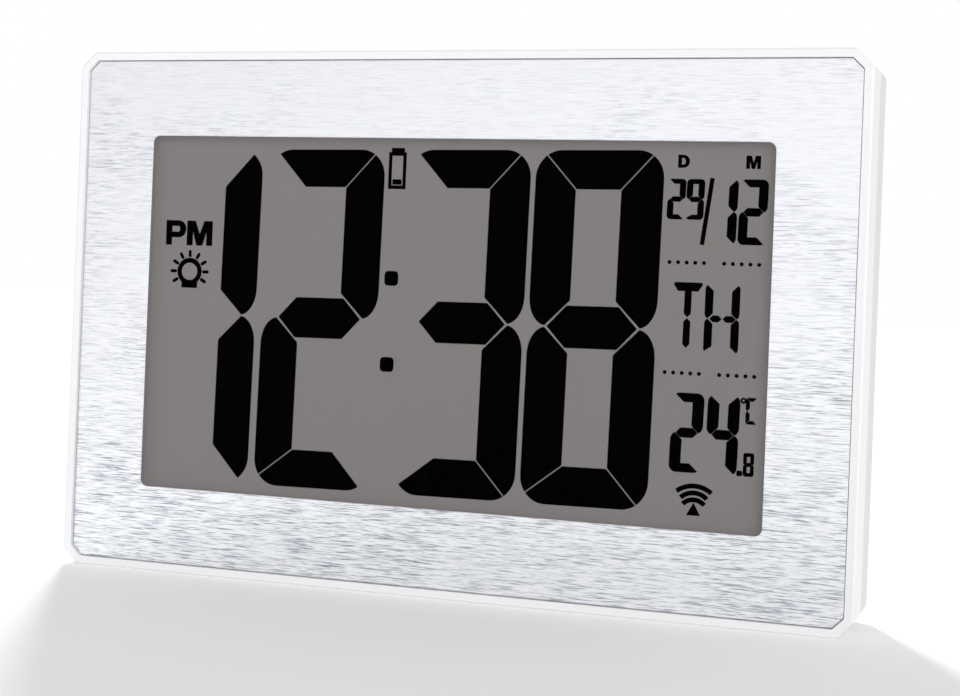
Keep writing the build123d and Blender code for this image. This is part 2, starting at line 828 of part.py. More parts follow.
def stand_leg():
    """Tapered leg: a thin skin with a rim and ribs inside, hinge pins, and a heel that stops it."""
    half = leg_width / 2
    outline = leg_outline(foot_gap, 0)
    outline = fillet(outline.vertices().group_by(Axis.Y)[0], leg_foot_round)
    leg_front = back_face - leg_thickness
    leg = slab(outline, leg_front, back_face)
    rim = leg.faces().sort_by(Axis.Y)[-1].edges()
    leg = chamfer(rim - rim.group_by(Axis.Z)[-1], leg_edge_bevel)
    top = leg_axis_z - leg_thickness
    low = foot_gap + leg_border
    hollow = leg_outline(low, -leg_border, top)
    hollow = fillet(hollow.vertices().group_by(Axis.Y)[0], leg_border)
    for side in (-1, 1):
        rib = side * leg_rib_spread / 2
        hollow -= panel(rib - leg_rib / 2, rib + leg_rib / 2, low - overrun, top + overrun)
    leg -= slab(hollow, leg_front - overrun, back_face - leg_skin)
    axis = Pos(leg_axis_y, leg_axis_z)
    leg += span(axis * Circle(leg_thickness / 2), -half, half)
    leg += span(axis * Circle(leg_pin_radius), -half - leg_pin_length, half + leg_pin_length)
    heel = panel(-heel_width / 2, heel_width / 2, leg_axis_z, leg_axis_z + heel_length)
    leg += slab(heel, leg_axis_y + heel_inner, back_face)
    return leg


def case_screws():
    seat = parting + case_seat
    sizes = (case_head_radius, case_head_height, case_screw_radius, case_screw_length)
    return Compound([screw(x, seat, z, *sizes) for x, z in case_points])


def carrier_screws():
    sizes = (small_head_radius, small_head_height, small_screw_radius, lug_screw_length)
    return Compound([screw(x, carrier_back, z, *sizes) for x, z in lug_points])


def board_screws():
    sizes = (small_head_radius, small_head_height, small_screw_radius, small_screw_length)
    return Compound([screw(x, board_back, z, *sizes) for x, z in board_points])


pieces = {
    "front_frame": front_frame(),
    "front_plate": front_plate(),
    "plate_tape": plate_tape(),
    "window_lens": window_lens(),
    "lcd_gasket": lcd_gasket(),
    "front_polariser": polariser(gasket_back),
    "lcd_front_glass": display_glass(ledge_top, cell_front),
    "lcd_rear_glass": display_glass(glass_top, glass_joint),
    "rear_polariser": polariser(cell_back),
    "light_guide": light_sheet(guide_front, guide_back),
    "reflector_sheet": light_sheet(guide_back, carrier_front),
    "led_strip": led_strip(),
    "backlight_leds": backlight_leds(),
    "lcd_carrier": lcd_carrier(),
    "carrier_screws": carrier_screws(),
    "zebra_strip": zebra_strip(),
    "main_board": main_board(),
    "board_screws": board_screws(),
    "driver_chip": driver_chip(),
    "clock_crystal": clock_crystal(),
    "filter_capacitors": filter_capacitors(),
    "tact_switches": tact_switches(),
    "temperature_sensor": temperature_sensor(),
    "ferrite_rod": ferrite_rod(),
    "antenna_coil": antenna_coil(),
    "receiver_board": receiver_board(),
    "receiver_chip": receiver_chip(),
    "receiver_leads": receiver_leads(),
    "rear_cover": rear_cover(),
    "case_screws": case_screws(),
    "battery_cell_upper": battery_cell(cell_rise, 1),
    "battery_cell_lower": battery_cell(-cell_rise, -1),
    "contact_link": contact_link(),
    "contact_plus": contact_plus(),
    "contact_minus": contact_minus(),
    "battery_leads": battery_leads(),
    "battery_door": battery_door(),
    "stand_leg": stand_leg(),
}
pieces.update({name: key_button(x) for name, x in zip(key_names, key_x)})

os.makedirs("parts", exist_ok=True)
for name, piece in pieces.items():
    export_step(piece, f"parts/{name}.step")
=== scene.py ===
import math

import bpy
import numpy as np
from mathutils import Matrix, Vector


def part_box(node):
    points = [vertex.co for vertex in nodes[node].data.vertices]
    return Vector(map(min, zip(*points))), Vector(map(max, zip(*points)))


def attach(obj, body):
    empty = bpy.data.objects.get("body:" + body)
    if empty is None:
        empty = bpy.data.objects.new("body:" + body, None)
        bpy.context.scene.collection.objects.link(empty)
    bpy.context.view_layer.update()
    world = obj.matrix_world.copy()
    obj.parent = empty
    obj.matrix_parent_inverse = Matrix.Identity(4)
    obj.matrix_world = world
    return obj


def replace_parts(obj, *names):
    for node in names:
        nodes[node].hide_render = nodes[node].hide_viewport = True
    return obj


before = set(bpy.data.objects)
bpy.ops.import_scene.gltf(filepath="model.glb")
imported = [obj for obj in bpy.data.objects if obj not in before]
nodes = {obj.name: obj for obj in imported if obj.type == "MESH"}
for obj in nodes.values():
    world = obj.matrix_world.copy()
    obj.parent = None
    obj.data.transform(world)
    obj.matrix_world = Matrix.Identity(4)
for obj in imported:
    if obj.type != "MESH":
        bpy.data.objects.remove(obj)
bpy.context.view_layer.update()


def effect_group(name, inputs, outputs):
    """Empty shader group with float inputs and their first values, and float outputs."""
    group = bpy.data.node_groups.new(name, "ShaderNodeTree")
    for label, value in inputs.items():
        socket = group.interface.new_socket(name=label, in_out="INPUT", socket_type="NodeSocketFloat")
        socket.default_value = value
    for label in outputs:
        group.interface.new_socket(name=label, in_out="OUTPUT", socket_type="NodeSocketFloat")
    return group, group.nodes.new("NodeGroupInput"), group.nodes.new("NodeGroupOutput")


def moulded_grain_group():
    """Tone is a slow cloud over the piece, Height a fine even grain, both noise in Object space."""
    group, given, made = effect_group("moulded_grain", {"Cloud": 40.0, "Fine": 2500.0}, ["Tone", "Height"])
    place = group.nodes.new("ShaderNodeTexCoord")
    for source, target, detail in (("Cloud", "Tone", 3.0), ("Fine", "Height", 1.0)):
        noise = group.nodes.new("ShaderNodeTexNoise")
        noise.inputs["Detail"].default_value = detail
        group.links.new(place.outputs["Object"], noise.inputs["Vector"])
        group.links.new(given.outputs[source], noise.inputs["Scale"])
        group.links.new(noise.outputs["Fac"], made.inputs[target])
    return group


def blank_material(name):
    """A node material with its Principled shader, ready for colours and effects."""
    made = bpy.data.materials.new(name)
    made.use_nodes = True
    return made, made.node_tree, made.node_tree.nodes["Principled BSDF"]


def put_group(tree, group, **values):
    """Places a shader group in a material with that material's own values."""
    placed = tree.nodes.new("ShaderNodeGroup")
    placed.node_tree = group
    for label, value in values.items():
        placed.inputs[label].default_value = value
    return placed


def link_colour(tree, factor, low, high, target):
    """Base colour that goes from low to high with a factor."""
    mix = tree.nodes.new("ShaderNodeMix")
    mix.data_type = "RGBA"
    mix.inputs["A"].default_value = (*low, 1.0)
    mix.inputs["B"].default_value = (*high, 1.0)
    tree.links.new(factor, mix.inputs["Factor"])
    tree.links.new(mix.outputs["Result"], target)
    return mix


def link_range(tree, factor, low, high, target):
    """Value that goes from low to high as a factor goes from a quarter to three quarters."""
    spread = tree.nodes.new("ShaderNodeMapRange")
    spread.inputs["From Min"].default_value = 0.25
    spread.inputs["From Max"].default_value = 0.75
    spread.inputs["To Min"].default_value = low
    spread.inputs["To Max"].default_value = high
    tree.links.new(factor, spread.inputs["Value"])
    tree.links.new(spread.outputs["Result"], target)


def link_gloss(tree, factor, rough, swing, shader):
    """Roughness that swings about a middle value with a factor."""
    link_range(tree, factor, rough - swing, rough + swing, shader.inputs["Roughness"])


def link_bump(tree, height, depth, target):
    """Surface relief of a real depth in metres."""
    relief = tree.nodes.new("ShaderNodeBump")
    relief.inputs["Strength"].default_value = 1.0
    relief.inputs["Distance"].default_value = depth
    tree.links.new(height, relief.inputs["Height"])
    tree.links.new(relief.outputs["Normal"], target)


grain_group = moulded_grain_group()
plastic_swing = 0.03


def moulded(name, low, high, rough, fine, depth):
    """Moulded plastic, rubber or foam: a faint cloud in its colour and gloss, and a fine grain."""
    made, tree, shader = blank_material(name)
    grain = put_group(tree, grain_group, Fine=fine)
    link_colour(tree, grain.outputs["Tone"], low, high, shader.inputs["Base Color"])
    link_gloss(tree, grain.outputs["Tone"], rough, plastic_swing, shader)
    link_bump(tree, grain.outputs["Height"], depth, shader.inputs["Normal"])
    return made


def dress(material, *names):
    """Gives CAD nodes their finish."""
    for name in names:
        nodes[name].data.materials.clear()
        nodes[name].data.materials.append(material)


smooth_white = moulded(
    "smooth_white", (0.9, 0.9, 0.9), (0.92, 0.92, 0.918), rough=0.38, fine=1800.0, depth=2e-6
)
dress(smooth_white, "front_frame")

# Front plate and its tape
# A thin sheet of aluminium, brushed from side to side, with cut corners and a rounded window.
# A frame of black double-sided tape bonds it to the front frame.


def long_streaks_group():
    """Streak and Scratch are noises drawn out along X: short dashes, and hairlines over them. Patch
    is a slow cloud, for the places where the tool pressed less, plus a slant times (Z - Level), which
    is painted light: it rises towards the top, where the dashes turn faint."""
    inputs = {"Along": 150.0, "Across": 4200.0, "Slant": 0.0, "Level": 0.0}
    group, given, made = effect_group("long_streaks", inputs, ["Streak", "Scratch", "Patch"])
    place = group.nodes.new("ShaderNodeTexCoord")
    stretch = group.nodes.new("ShaderNodeCombineXYZ")
    for axis, source in zip("XYZ", ("Along", "Across", "Across")):
        group.links.new(given.outputs[source], stretch.inputs[axis])
    drawn = group.nodes.new("ShaderNodeVectorMath")
    drawn.operation = "MULTIPLY"
    group.links.new(place.outputs["Object"], drawn.inputs[0])
    group.links.new(stretch.outputs["Vector"], drawn.inputs[1])
    for target, scale, detail in (("Streak", 1.0, 2.0), ("Scratch", 2.3, 2.0)):
        noise = group.nodes.new("ShaderNodeTexNoise")
        noise.inputs["Scale"].default_value = scale
        noise.inputs["Detail"].default_value = detail
        noise.inputs["Roughness"].default_value = 0.6
        group.links.new(drawn.outputs["Vector"], noise.inputs["Vector"])
        group.links.new(noise.outputs["Fac"], made.inputs[target])
    patch = group.nodes.new("ShaderNodeTexNoise")
    patch.inputs["Scale"].default_value = 45.0
    patch.inputs["Detail"].default_value = 3.0
    group.links.new(place.outputs["Object"], patch.inputs["Vector"])
    part = group.nodes.new("ShaderNodeSeparateXYZ")
    group.links.new(place.outputs["Object"], part.inputs["Vector"])
    # Painted light: the slant times the height over the level makes Patch rise towards the top, so the dashes
    # fade there and stay darker towards the bottom.
    rise = group.nodes.new("ShaderNodeMath")
    rise.operation = "SUBTRACT"
    group.links.new(part.outputs["Z"], rise.inputs[0])
    group.links.new(given.outputs["Level"], rise.inputs[1])
    patch_and_painted_light = group.nodes.new("ShaderNodeMath")
    patch_and_painted_light.operation = "MULTIPLY_ADD"
    group.links.new(rise.outputs["Value"], patch_and_painted_light.inputs[0])
    group.links.new(given.outputs["Slant"], patch_and_painted_light.inputs[1])
    group.links.new(patch.outputs["Fac"], patch_and_painted_light.inputs[2])
    group.links.new(patch_and_painted_light.outputs["Value"], made.inputs["Patch"])
    return group


streak_group = long_streaks_group()
dash_start, dash_end = 0.36, 0.5
faint_parts = 5
metal_swing = 0.06


def drawn_metal(name, low, high, rough, along, across, depth, painted_light_slant=0.0, level=0.0):
    """Metal with a direction in its finish: streaks vary its colour and gloss, hairlines its relief.
    Where Patch is high a dash turns faint: some parts of the light colour to one of the dark. The
    slant adds painted light to Patch: the dashes turn fainter towards the top, darker towards the bottom."""
    made, tree, shader = blank_material(name)
    streaks = put_group(tree, streak_group, Along=along, Across=across, Slant=painted_light_slant, Level=level)
    faint = tuple((dark + faint_parts * light) / (faint_parts + 1) for dark, light in zip(low, high))
    dash = link_colour(tree, streaks.outputs["Patch"], low, faint, shader.inputs["Base Color"])
    link_range(tree, streaks.outputs["Patch"], 0.0, 1.0, dash.inputs["Factor"])
    sheet = link_colour(tree, streaks.outputs["Streak"], low, high, shader.inputs["Base Color"])
    tree.links.new(dash.outputs["Result"], sheet.inputs["A"])
    edge = tree.nodes.new("ShaderNodeMapRange")
    edge.inputs["From Min"].default_value = dash_start
    edge.inputs["From Max"].default_value = dash_end
    tree.links.new(streaks.outputs["Streak"], edge.inputs["Value"])
    tree.links.new(edge.outputs["Result"], sheet.inputs["Factor"])
    link_gloss(tree, streaks.outputs["Scratch"], rough, metal_swing, shader)
    link_bump(tree, streaks.outputs["Scratch"], depth, shader.inputs["Normal"])
    shader.inputs["Metallic"].default_value = 1.0
    return made


# Painted light: the slant fades the plate's dashes towards the top and leaves them darker towards the bottom,
# as the light falls on the plate.
brushed_aluminium = drawn_metal(
    "brushed_aluminium", (0.27, 0.28, 0.33), (0.925, 0.935, 0.97), rough=0.3,
    along=180.0, across=5240.0, depth=1e-5, painted_light_slant=3.6, level=0.072,
)
brushed_shader = brushed_aluminium.node_tree.nodes["Principled BSDF"]
brushed_shader.inputs["Anisotropic"].default_value = 0.6
brushed_shader.inputs["Anisotropic Rotation"].default_value = 0.25
dress(brushed_aluminium, "front_plate")
black_tape = moulded(
    "black_tape", (0.012, 0.012, 0.013), (0.02, 0.02, 0.021), rough=0.8, fine=900.0, depth=2e-5
)
dress(black_tape, "plate_tape")

# Window lens
# A clear acrylic sheet behind the plate's window, glued into a seat of the front frame.
# Its anti-glare coat keeps it nearly unseen, so it is a thin see-through film with a soft gloss.
film_swing = 0.02


def clear_film(name, tint, alpha, rough):
    """See-through sheet: the alpha lets most light by, and a cloud breaks up its gloss a little."""
    made, tree, shader = blank_material(name)
    grain = put_group(tree, grain_group, Cloud=25.0, Fine=6000.0)
    link_gloss(tree, grain.outputs["Tone"], rough, film_swing, shader)
    shader.inputs["Base Color"].default_value = (*tint, 1.0)
    shader.inputs["Specular IOR Level"].default_value = 0.3
    shader.inputs["Alpha"].default_value = alpha
    return made


clear_acrylic = clear_film("clear_acrylic", (0.01, 0.01, 0.01), alpha=0.015, rough=0.3)
dress(clear_acrylic, "window_lens")

# Display gasket
# A die-cut frame of black foam between the front frame and the display, to keep dust out.
black_foam = moulded(
    "black_foam", (0.015, 0.015, 0.016), (0.03, 0.03, 0.03), rough=0.9, fine=1400.0, depth=6e-5
)
dress(black_foam, "lcd_gasket")

# Display cell
# Two sheets of glass with liquid crystal between them and a polarising film on each side.
# The front film has a matte grey face, which shows in the window. Its even glow stands partly for
# the back light and is partly painted light, which fills the shade of the recess round the window.
display_grey = moulded(
    "display_grey", (0.115, 0.108, 0.106), (0.12, 0.113, 0.111), rough=0.75, fine=5200.0, depth=2e-6
)
display_shader = display_grey.node_tree.nodes["Principled BSDF"]
display_shader.inputs["Specular IOR Level"].default_value = 0.05
# Painted light: this emission gives the grey face an even glow that fills the shade of the recess round the
# window, and partly stands for the back light.
display_shader.inputs["Emission Color"].default_value = (0.233, 0.219, 0.215, 1.0)
display_shader.inputs["Emission Strength"].default_value = 0.5
dress(display_grey, "front_polariser")
glass_relief = 1e-6


def tinted_glass(name, low, high, rough, transmission):
    """Solid clear sheet: light goes through it, and a cloud tints it a little."""
    made, tree, shader = blank_material(name)
    grain = put_group(tree, grain_group, Cloud=30.0, Fine=3000.0)
    link_colour(tree, grain.outputs["Tone"], low, high, shader.inputs["Base Color"])
    link_bump(tree, grain.outputs["Height"], glass_relief, shader.inputs["Normal"])
    shader.inputs["Roughness"].default_value = rough
    shader.inputs["Transmission Weight"].default_value = transmission
    return made


display_glass = tinted_glass(
    "display_glass", (0.80, 0.88, 0.84), (0.86, 0.92, 0.89), rough=0.04, transmission=0.9
)
dress(display_glass, "lcd_front_glass", "lcd_rear_glass")
white_film = moulded("white_film", (0.74, 0.75, 0.76), (0.8, 0.8, 0.81), rough=0.5, fine=3000.0, depth=3e-6)
dress(white_film, "rear_polariser")

# Time on the display
# Four seven-bar numerals and a colon, formed by the black state of the liquid crystal.
# They lie on the matte face as thin dark prisms, placed in millimetres from the window's middle.
MM = 0.001
plate_low, plate_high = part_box("front_plate")
face_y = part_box("front_polariser")[0].y
middle_z = (plate_low.z + plate_high.z) / 2
ink_depth = 0.03 * MM
ink_root = 0.01 * MM
arc_steps, quarter_steps = 8, 5


def aims(degrees):
    """Unit steps in X and Z at several angles: the cosine and the sine of each."""
    turn = np.radians(degrees)
    return np.stack([np.cos(turn), np.sin(turn)], axis=1)


def arc(centre, radius, start, end, steps=arc_steps):
    """Points on a circle from one angle to another, in degrees. A pair of radii gives an ellipse."""
    return np.asarray(centre) + np.asarray(radius) * aims(np.linspace(start, end, steps))


def inset(outline, gap):
    """Moves each side of a convex outline inwards by a gap. With inward side normals m and n,
    a corner moves by gap times (m + n) over (1 + m.n)."""
    side = np.roll(outline, -1, axis=0) - outline
    side = side / np.linalg.norm(side, axis=1, keepdims=True)
    after = np.stack([-side[:, 1], side[:, 0]], axis=1)
    before = np.roll(after, 1, axis=0)
    return outline + gap * (before + after) / (1 + (before * after).sum(axis=1, keepdims=True))


bars_of = {
    "1": "bc", "2": "abged", "3": "abgcd", "4": "fgbc",
    "8": "abcdefg", "9": "abcdfg", "C": "afed", "H": "bcef",
}
corner_shares = np.array((0.63, 0.66))
waist_shares = np.array((0.44, 0.66))
point_slope, belt_share = 1.08, 0.54
mitre, foot_mitre, tuck = 55, 38, 5


def numeral(sign, right, top, width, height, upright, flat, gap, lean=0.0, lift=0.0):
    """Outlines of the lit bars of one numeral. The bars are mitred from the rounded corners of the
    cell to the corners of its two openings, and the four upright ones end in a curve beside the
    points of the middle bar. Each is drawn in by half a gap. Lean shifts the cell to the left in
    even steps from its top to its foot, and lift raises its middle bar."""
    wide, tall = width + gap, height + gap
    half = tall / 2 + lift
    corner = corner_shares * upright
    waist = waist_shares * upright
    inner, head = wide - upright, tall - flat
    tip, belt = waist[0], belt_share * flat
    drop, shelf = point_slope * (upright - tip), tip + belt / point_slope
    low_c, high_c = corner[1], tall - corner[1]
    left_c, right_c = corner[0], wide - corner[0]
    below, above = half - waist[1], half + waist[1]
    bars = {
        "a": [[(upright, head), (inner, head)], arc((right_c, high_c), corner, mitre, 90),
              arc((left_c, high_c), corner, 90, 180 - mitre)],
        "b": [[(inner, half + drop)], arc((wide - tip, above), waist, 270 + tuck, 360),
              arc((right_c, high_c), corner, 0, mitre), [(inner, head)]],
        "c": [[(inner, flat)], arc((right_c, low_c), corner, 360 - mitre, 360),
              arc((wide - tip, below), waist, 0, 90 - tuck), [(inner, half - drop)]],
        "d": [arc((left_c, low_c), corner, 180 + foot_mitre, 270),
              arc((right_c, low_c), corner, 270, 360 - mitre), [(inner, flat), (upright, flat)]],
        "e": [arc((left_c, low_c), corner, 180, 180 + foot_mitre),
              [(upright, flat), (upright, half - drop)], arc((tip, below), waist, 90 + tuck, 180)],
        "f": [arc((left_c, high_c), corner, 180 - mitre, 180),
              arc((tip, above), waist, 180, 270 - tuck), [(upright, half + drop), (upright, head)]],
        "g": [[(tip, half), (shelf, half - belt), (wide - shelf, half - belt), (wide - tip, half),
               (wide - shelf, half + belt), (shelf, half + belt)]],
    }
    lit = []
    for bar in bars_of[sign]:
        outline = inset(np.concatenate([np.asarray(run, float) for run in bars[bar]]), gap / 2)
        outline = outline + (right - width - gap / 2, top - height - gap / 2)
        outline[:, 0] -= lean * (top - outline[:, 1]) / height
        lit.append(outline)
    return lit


def numeral_row(rights, cell):
    """The bars of several numerals of one size, each placed by its right side."""
    return [bar for sign, right in rights.items() for bar in numeral(sign, right, **cell)]


def rounded_box(x, z, width, height, corner):
    """Rectangle about a point with four quarter-circle corners."""
    across, up = width / 2 - corner, height / 2 - corner
    corners = [(x + across, z + up), (x - across, z + up), (x - across, z - up), (x + across, z - up)]
    return np.concatenate([arc(c, corner, 90 * i, 90 * i + 90, quarter_steps) for i, c in enumerate(corners)])


def raised_sign(name, outlines, near, far, body, material):
    """Thin prisms: each outline in X and Z is carried from depth near to depth far, with a cap at
    both ends and one quad along each side. Near is the end towards the front."""
    points, faces, start = [], [], 0
    for outline in outlines:
        count = len(outline)
        flat = np.asarray(outline) * MM
        caps = [np.stack([flat[:, 0], np.full(count, y), flat[:, 1] + middle_z], axis=1) for y in (near, far)]
        points += caps
        ring = start + np.arange(count)
        after = np.roll(ring, -1)
        faces += [ring.tolist(), (ring[::-1] + count).tolist()]
        faces += np.stack([ring, ring + count, after + count, after], axis=1).tolist()
        start += 2 * count
    mesh = bpy.data.meshes.new(name)
    mesh.from_pydata(np.concatenate(points).tolist(), [], faces)
    mesh.materials.append(material)
    made = bpy.data.objects.new(name, mesh)
    bpy.context.scene.collection.objects.link(made)
    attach(made, body)


def display_sign(name, outlines):
    """A group of signs on the display's face."""
    near, far = face_y - ink_depth, face_y + ink_root
    raised_sign(name, outlines, near, far, "housing", segment_black)


segment_black = moulded(
    "segment_black", (0.0004, 0.0004, 0.0004), (0.0006, 0.0006, 0.0006), rough=0.8, fine=5200.0, depth=1e-6
)
segment_black.node_tree.nodes["Principled BSDF"].inputs["Specular IOR Level"].default_value = 0.0
time_cell = dict(top=47.9, width=35.5, height=95.65, upright=11.75, flat=10.85, gap=0.3, lean=1.4, lift=0.25)
time_bars = numeral_row({"1": -56.55, "2": -19.0, "3": 23.65, "8": 60.55}, time_cell)
time_slope, time_pivot = 0.0104, -10.0
for bar in time_bars:
    bar[:, 1] += time_slope * (bar[:, 0] - time_pivot)
colon_size, colon_corner = 4.1, 1.1
colon_places = ((-15.95, 12.0), (-16.35, -12.0))
colon_dots = [rounded_box(x, z, colon_size, colon_size, colon_corner) for x, z in colon_places]
display_sign("time_signs", time_bars + colon_dots)

# State signs on the display
# A battery outline, a bold PM, a lit bulb and a radio mast, each a plain generic sign.
# They are formed in the liquid crystal as the numerals are.
ring_steps, bow_steps, end_steps = 24, 16, 6


def box_outline(left, right, low, high):
    """Rectangle between two sides and two heights."""
    return np.array([(left, low), (right, low), (right, high), (left, high)], float)


def ring_piece(centre, inner, outer, start, end):
    """Part of a flat ring: out along one arc and back along the other."""
    out_arc = arc(centre, outer, start, end, ring_steps)
    back_arc = arc(centre, inner, end, start, ring_steps)
    return np.concatenate([out_arc, back_arc])


def whole_ring(centre, inner, outer):
    """Flat ring in two halves."""
    return [ring_piece(centre, inner, outer, start, start + 180) for start in (0, 180)]


def round_bar(tail, tip, width):
    """Straight bar with half-round ends."""
    tail, tip = np.asarray(tail, float), np.asarray(tip, float)
    aim = math.degrees(math.atan2(*(tip - tail)[::-1]))
    tip_end = arc(tip, width / 2, aim - 90, aim + 90, end_steps)
    tail_end = arc(tail, width / 2, aim + 90, aim + 270, end_steps)
    return np.concatenate([tip_end, tail_end])


def ray_bars(centre, start, end, width, degrees):
    """Short bars that point away from a centre at several angles."""
    return [round_bar(centre + start * aim, centre + end * aim, width) for aim in aims(degrees)]


def letter_bowl(left, right, low, high, stroke, side):
    """Bow of a letter: a half ring with two straight arms of one stroke back to the stem, and a
    stroke of its own at the side."""
    radius = (high - low) / 2
    centre = (right - radius, (low + high) / 2)
    outer = arc(centre, radius, -90, 90, bow_steps)
    inner = arc(centre, (radius - side, radius - stroke), 90, -90, bow_steps)
    stem_top = [(left, high), (left, high - stroke)]
    return np.concatenate([[(left, low)], outer, stem_top, inner, [(left, low + stroke)]])


notch_share, foot_share, crotch_share, shoulder_share = 0.54, 0.115, 0.47, 1.4


def letter_m(left, right, low, high, stroke):
    """Bold M: two stems and a V between them, in shares of its width, height and stroke."""
    wide, tall, centre = right - left, high - low, (left + right) / 2
    notch, crotch = low + notch_share * tall, low + crotch_share * tall
    foot, shoulder = foot_share * wide, shoulder_share * stroke
    return np.array([
        (left, low), (left + stroke, low), (left + stroke, notch), (centre - foot, low), (centre + foot, low),
        (right - stroke, notch), (right - stroke, low), (right, low), (right, high), (right - shoulder, high),
        (centre, crotch), (left + shoulder, high), (left, high),
    ])


battery_left, battery_right, battery_low, battery_high, battery_wall = -18.0, -12.75, 36.9, 47.15, 1.0
cap_left, cap_right, cap_top = -17.25, -13.35, 48.35
charge_side, charge_low, charge_high = 1.25, 38.1, 39.6
hollow_low, hollow_high = battery_low + battery_wall, battery_high - battery_wall
battery_sign = [
    box_outline(battery_left, battery_right, battery_low, hollow_low),
    box_outline(battery_left, battery_right, hollow_high, battery_high),
    box_outline(battery_left, battery_left + battery_wall, hollow_low, hollow_high),
    box_outline(battery_right - battery_wall, battery_right, hollow_low, hollow_high),
    box_outline(cap_left, cap_right, battery_high, cap_top),
    box_outline(battery_left + charge_side, battery_right - charge_side, charge_low, charge_high),
]
p_left, p_right, m_left, m_right = -86.9, -80.4, -80.15, -71.9
pm_low, pm_high, pm_stroke = 19.35, 26.5, 1.95
bowl_rise, bowl_stroke, bowl_side = 2.2, 1.65, 2.05
pm_sign = [
    box_outline(p_left, p_left + pm_stroke, pm_low, pm_high),
    letter_bowl(p_left + pm_stroke, p_right, pm_low + bowl_rise, pm_high, bowl_stroke, bowl_side),
    letter_m(m_left, m_right, pm_low, pm_high, pm_stroke),
]
bulb_centre, bulb_inner, bulb_outer = np.array((-78.85, 11.8)), 2.5, 3.94
ray_start, ray_end, ray_width, ray_angles = 4.55, 5.75, 0.95, np.arange(-30, 211, 30)
base_left, base_right, base_low, base_high = -81.3, -76.25, 7.05, 8.7
bulb_sign = whole_ring(bulb_centre, bulb_inner, bulb_outer)
bulb_sign += ray_bars(bulb_centre, ray_start, ray_end, ray_width, ray_angles)
bulb_sign += [box_outline(base_left, base_right, base_low, base_high)]
mast_x, mast_low, mast_high, mast_half, wave_stroke = 71.6, -47.15, -43.7, 1.87, 1.3
mast_sign = [np.array([(mast_x - mast_half, mast_low), (mast_x + mast_half, mast_low), (mast_x, mast_high)])]
for wave_top, wave_outer, wave_half in ((-38.75, 8.2, 38), (-40.55, 5.7, 44), (-42.35, 4.5, 48)):
    wave_centre, wave_inner = (mast_x, wave_top - wave_outer), wave_outer - wave_stroke
    mast_sign += [ring_piece(wave_centre, wave_inner, wave_outer, 90 - wave_half, 90 + wave_half)]
display_sign("state_signs", battery_sign + pm_sign + bulb_sign + mast_sign)

# Date and temperature on the display
# A column at the right: day and month under their letters, the day of the week between two
# dotted lines, and the temperature with its degree sign.


def pointed_bar(tail, tip, width):
    """Straight bar that ends in a square point at both ends."""
    tail, tip = np.asarray(tail, float), np.asarray(tip, float)
    along = (tip - tail) / np.linalg.norm(tip - tail) * width / 2
    across = np.array((-along[1], along[0]))
    return np.array([
        tail, tail + along - across, tip - along - across, tip, tip - along + across, tail + along + across,
    ])


def square_bar(tail, tip, width):
    """Straight bar with square ends."""
    tail, tip = np.asarray(tail, float), np.asarray(tip, float)
    along = (tip - tail) / np.linalg.norm(tip - tail) * width / 2
    across = np.array((-along[1], along[0]))
    return np.array([tail - across, tip - across, tip + across, tail + across])


dot_sides = 12


def round_dot(centre, radius):
    """Disc, drawn as an even polygon."""
    return arc(centre, radius, 0, 360 - 360 / dot_sides, dot_sides)


letter_low, letter_high, letter_stroke = 44.05, 47.5, 1.0
day_left, day_right, month_left, month_right = 64.05, 67.2, 82.1, 85.95
day_stroke, day_side = 0.85, 1.1
slash_foot, slash_top, slash_width = (71.2, 23.9), (73.4, 41.5), 1.2
date_signs = [
    box_outline(day_left, day_left + letter_stroke, letter_low, letter_high),
    letter_bowl(day_left + letter_stroke, day_right, letter_low, letter_high, day_stroke, day_side),
    letter_m(month_left, month_right, letter_low, letter_high, letter_stroke),
    square_bar(slash_foot, slash_top, slash_width),
]
day_cell = dict(top=41.15, width=4.85, height=10.7, upright=1.72, flat=1.33, gap=0.0, lean=0.25)
month_cell = dict(top=41.3, width=7.45, height=17.1, upright=2.5, flat=2.05, gap=0.0, lean=0.35)
date_signs += numeral_row({"2": 66.52, "9": 71.54}, day_cell)
date_signs += numeral_row({"1": 80.45, "2": 88.3}, month_cell)
dot_radius, dot_pitch, dot_count = 0.54, 2.3, 5
dot_steps = dot_pitch * np.arange(dot_count)
block_lefts = (62.75, 77.3)
for row_z, row_x in ((19.15, 0.0), (-9.95, -0.2)):
    for block in block_lefts:
        date_signs += [round_dot((block + row_x + step, row_z), dot_radius) for step in dot_steps]
week_top, week_tip, week_under, week_split, week_low = 13.95, 13.4, 11.6, 4.65, -3.3
stem_low_x, stem_split_x, stem_top_x = 67.9, 68.0, 68.1
stem_top, stem_parting, stem_width = 12.4, 0.1, 1.9
week_signs = [
    np.array([
        (65.3, week_under), (70.75, week_under), (71.95, week_tip),
        (71.65, week_top), (64.5, week_top), (64.15, week_tip),
    ]),
    pointed_bar((stem_split_x, week_split + stem_parting), (stem_top_x, stem_top), stem_width),
    pointed_bar((stem_low_x, week_low), (stem_split_x, week_split - stem_parting), stem_width),
]
week_cell = dict(top=13.8, width=9.25, height=18.25, upright=2.3, flat=1.9, gap=0.1, lean=0.1)
week_signs += numeral_row({"H": 81.9}, week_cell)
bridge_width = 1.75
for left, right in ((73.9, 77.2), (77.4, 80.9)):
    week_signs += [pointed_bar((left, week_split), (right, week_split), bridge_width)]
warm_cell = dict(top=-15.1, width=8.58, height=20.9, upright=3.12, flat=2.42, gap=0.0, lean=0.45)
unit_cell = dict(top=-15.45, width=3.1, height=6.95, upright=1.15, flat=1.05, gap=0.06)
tenth_cell = dict(top=-29.8, width=2.86, height=6.15, upright=1.0, flat=1.0, gap=0.0)
degree_centre, degree_inner, degree_outer = (83.75, -16.3), 0.28, 0.8
point_x, point_z, point_width, point_height, point_corner = 83.35, -35.25, 1.55, 1.45, 0.35
